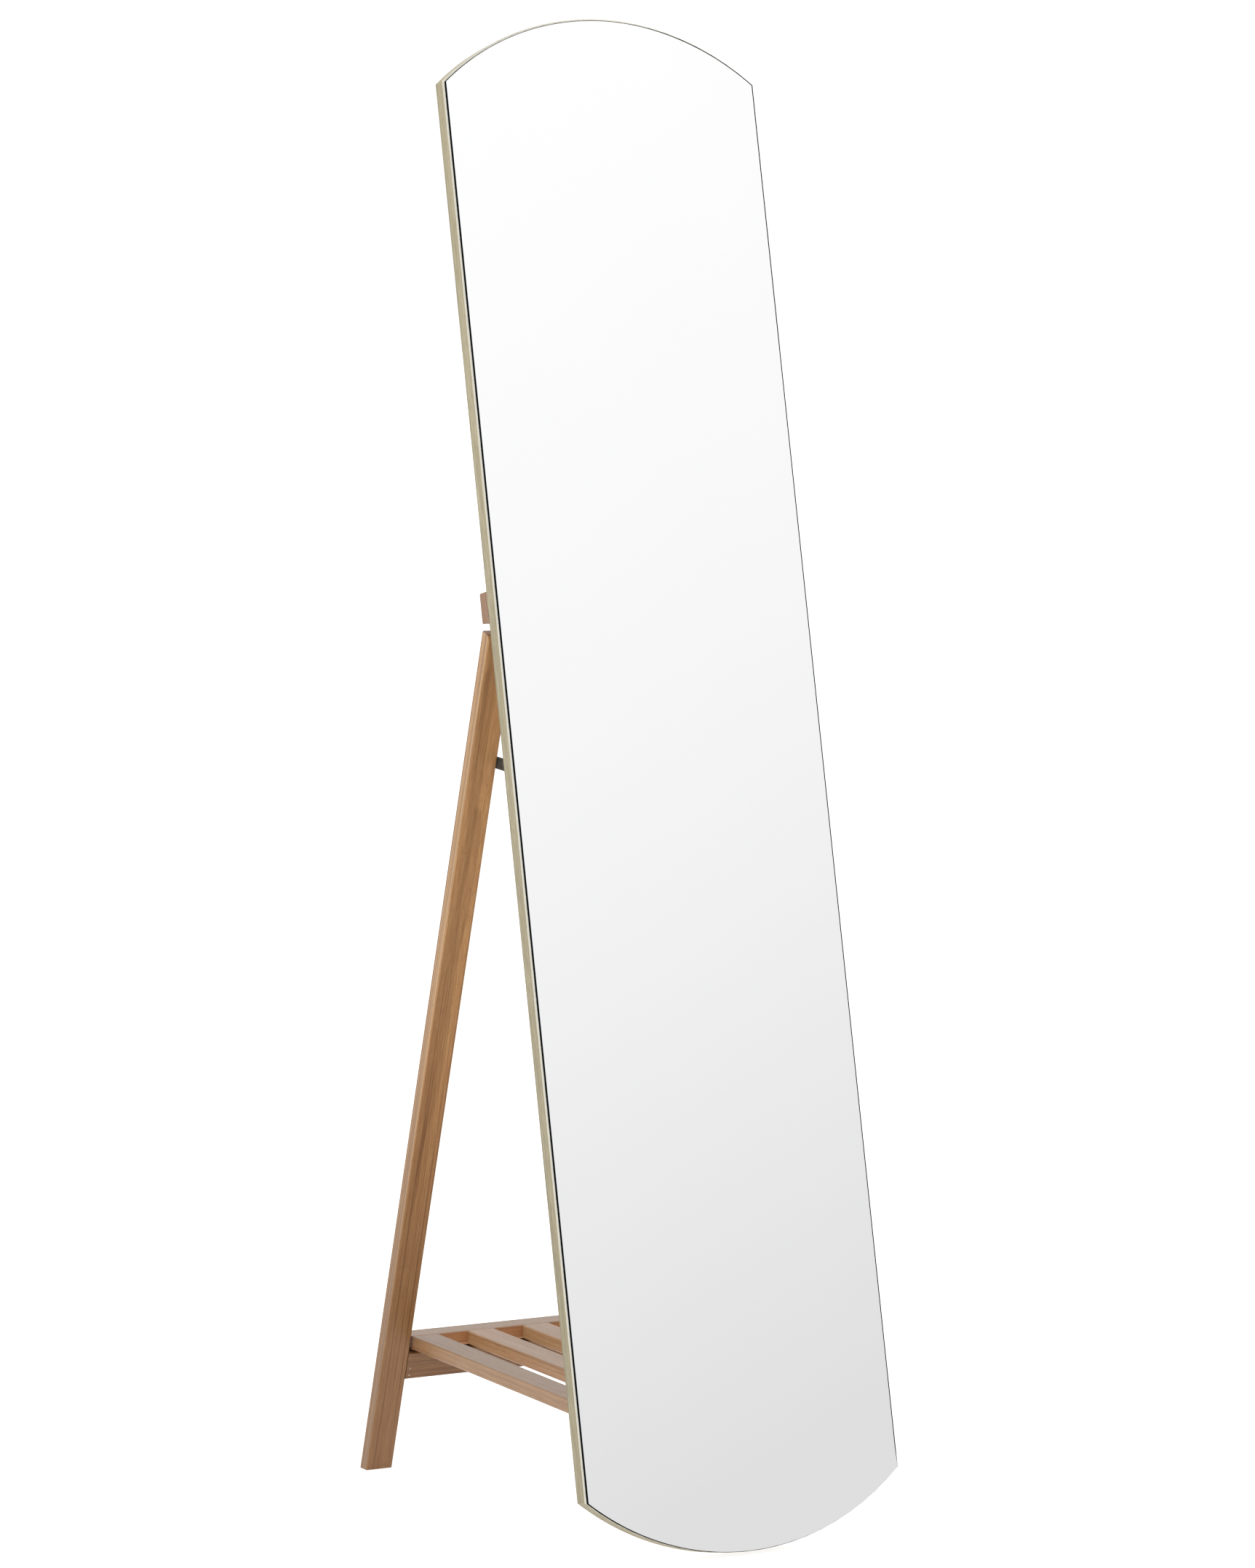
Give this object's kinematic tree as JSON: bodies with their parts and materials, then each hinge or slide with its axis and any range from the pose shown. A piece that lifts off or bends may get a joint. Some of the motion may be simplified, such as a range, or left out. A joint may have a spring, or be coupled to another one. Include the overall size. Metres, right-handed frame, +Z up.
{
  "type": "floor mirror",
  "caption": "Full-length frameless floor mirror with arched ends, leaning on a folding acacia easel stand with a fold-up slatted shelf.",
  "frame": {"origin": "under the middle of the object's bounding box, on the floor", "axes": "+Z up; the mirror faces -Y and leans back toward +Y; +X is to the right of a viewer facing the mirror"},
  "size_m": [0.35, 0.5197, 1.4915],
  "materials": {
    "board_painted": "cream melamine-faced fibreboard, matt",
    "edge_veneer": "thin pale oak edge veneer, satin",
    "adhesive_foam": "grey foam mounting tape",
    "mirror_glass": "polished silvered glass with a dark painted back and ground edge",
    "batten_wood": "oiled acacia, satin",
    "leg_wood": "oiled acacia with brown streaks, satin",
    "shelf_wood": "oiled acacia, lighter tops, satin",
    "dowel_wood": "plain beech dowel",
    "hinge_steel": "zinc-plated steel strip",
    "zinc_screw": "zinc-plated steel",
    "black_steel": "black powder-coated steel, satin"
  },
  "bodies": {
    "mirror": {"backing_board": "board_painted", "left_edge_band": "edge_veneer", "right_edge_band": "edge_veneer", "top_edge_band": "edge_veneer", "bottom_edge_band": "edge_veneer", "adhesive_strips": "adhesive_foam", "mirror_glass": "mirror_glass", "rear_batten": "batten_wood", "batten_screws": "zinc_screw", "left_leg_hinge_fixed_leaf": "hinge_steel", "right_leg_hinge_fixed_leaf": "hinge_steel", "leg_hinge_pins": "hinge_steel", "leg_hinge_fixed_screws": "zinc_screw", "left_shelf_hinge_fixed_leaf": "hinge_steel", "right_shelf_hinge_fixed_leaf": "hinge_steel", "shelf_hinge_pins": "hinge_steel", "shelf_hinge_fixed_screws": "zinc_screw", "left_stay_bracket": "black_steel", "right_stay_bracket": "black_steel", "stay_bracket_rivets": "black_steel", "stay_bracket_screws": "zinc_screw"},
    "leg_frame": {"left_leg": "leg_wood", "right_leg": "leg_wood", "top_rail": "leg_wood", "lower_rail": "leg_wood", "rail_dowels": "dowel_wood", "lower_rail_nails": "zinc_screw", "left_leg_hinge_moving_leaf": "hinge_steel", "right_leg_hinge_moving_leaf": "hinge_steel", "leg_hinge_moving_screws": "zinc_screw", "stay_leg_screws": "black_steel", "stay_leg_washers": "zinc_screw"},
    "shelf": {"shelf_rear_rail": "shelf_wood", "shelf_front_rail": "shelf_wood", "shelf_slat_1": "shelf_wood", "shelf_slat_2": "shelf_wood", "shelf_slat_3": "shelf_wood", "shelf_slat_4": "shelf_wood", "shelf_slat_5": "shelf_wood", "shelf_dowels": "dowel_wood", "left_shelf_hinge_moving_leaf": "hinge_steel", "right_shelf_hinge_moving_leaf": "hinge_steel", "shelf_hinge_moving_screws": "zinc_screw"},
    "left_leg_link": {"left_stay_leg_link": "black_steel", "left_stay_rivet_head": "black_steel"},
    "left_board_link": {"left_stay_board_link": "black_steel", "left_stay_rivet_tail": "black_steel"},
    "right_leg_link": {"right_stay_leg_link": "black_steel", "right_stay_rivet_head": "black_steel"},
    "right_board_link": {"right_stay_board_link": "black_steel", "right_stay_rivet_tail": "black_steel"}
  },
  "joints": [
    {"name": "frame_fold", "type": "hinge", "parent": "mirror", "child": "leg_frame", "pos_m": [0, -0.02293, 0.89531], "axis": [-1, 0, 0], "range_deg": [0, 30.3]},
    {"name": "shelf_lift", "type": "hinge", "parent": "mirror", "child": "shelf", "pos_m": [0, -0.20505, 0.1493], "axis": [1, 0, 0], "range_deg": [0, 77.4]},
    {"name": "left_stay_leg_pivot", "type": "hinge", "parent": "leg_frame", "child": "left_leg_link", "pos_m": [-0.14325, 0.00997, 0.75833], "axis": [-1, 0, 0], "range_deg": [0, 75.53]},
    {"name": "left_stay_board_pivot", "type": "hinge", "parent": "mirror", "child": "left_board_link", "pos_m": [-0.14145, -0.06505, 0.7541], "axis": [1, 0, 0], "range_deg": [0, 74.17]},
    {"name": "right_stay_leg_pivot", "type": "hinge", "parent": "leg_frame", "child": "right_leg_link", "pos_m": [0.14325, 0.00997, 0.75833], "axis": [-1, 0, 0], "range_deg": [0, 75.53]},
    {"name": "right_stay_board_pivot", "type": "hinge", "parent": "mirror", "child": "right_board_link", "pos_m": [0.14145, -0.06505, 0.7541], "axis": [1, 0, 0], "range_deg": [0, 74.17]}
  ],
  "couplings": [
    {"joint": "left_stay_leg_pivot", "follows": "frame_fold", "ratio": 2.4927},
    {"joint": "left_stay_board_pivot", "follows": "frame_fold", "ratio": 2.4479},
    {"joint": "right_stay_leg_pivot", "follows": "frame_fold", "ratio": 2.4927},
    {"joint": "right_stay_board_pivot", "follows": "frame_fold", "ratio": 2.4479}
  ]
}
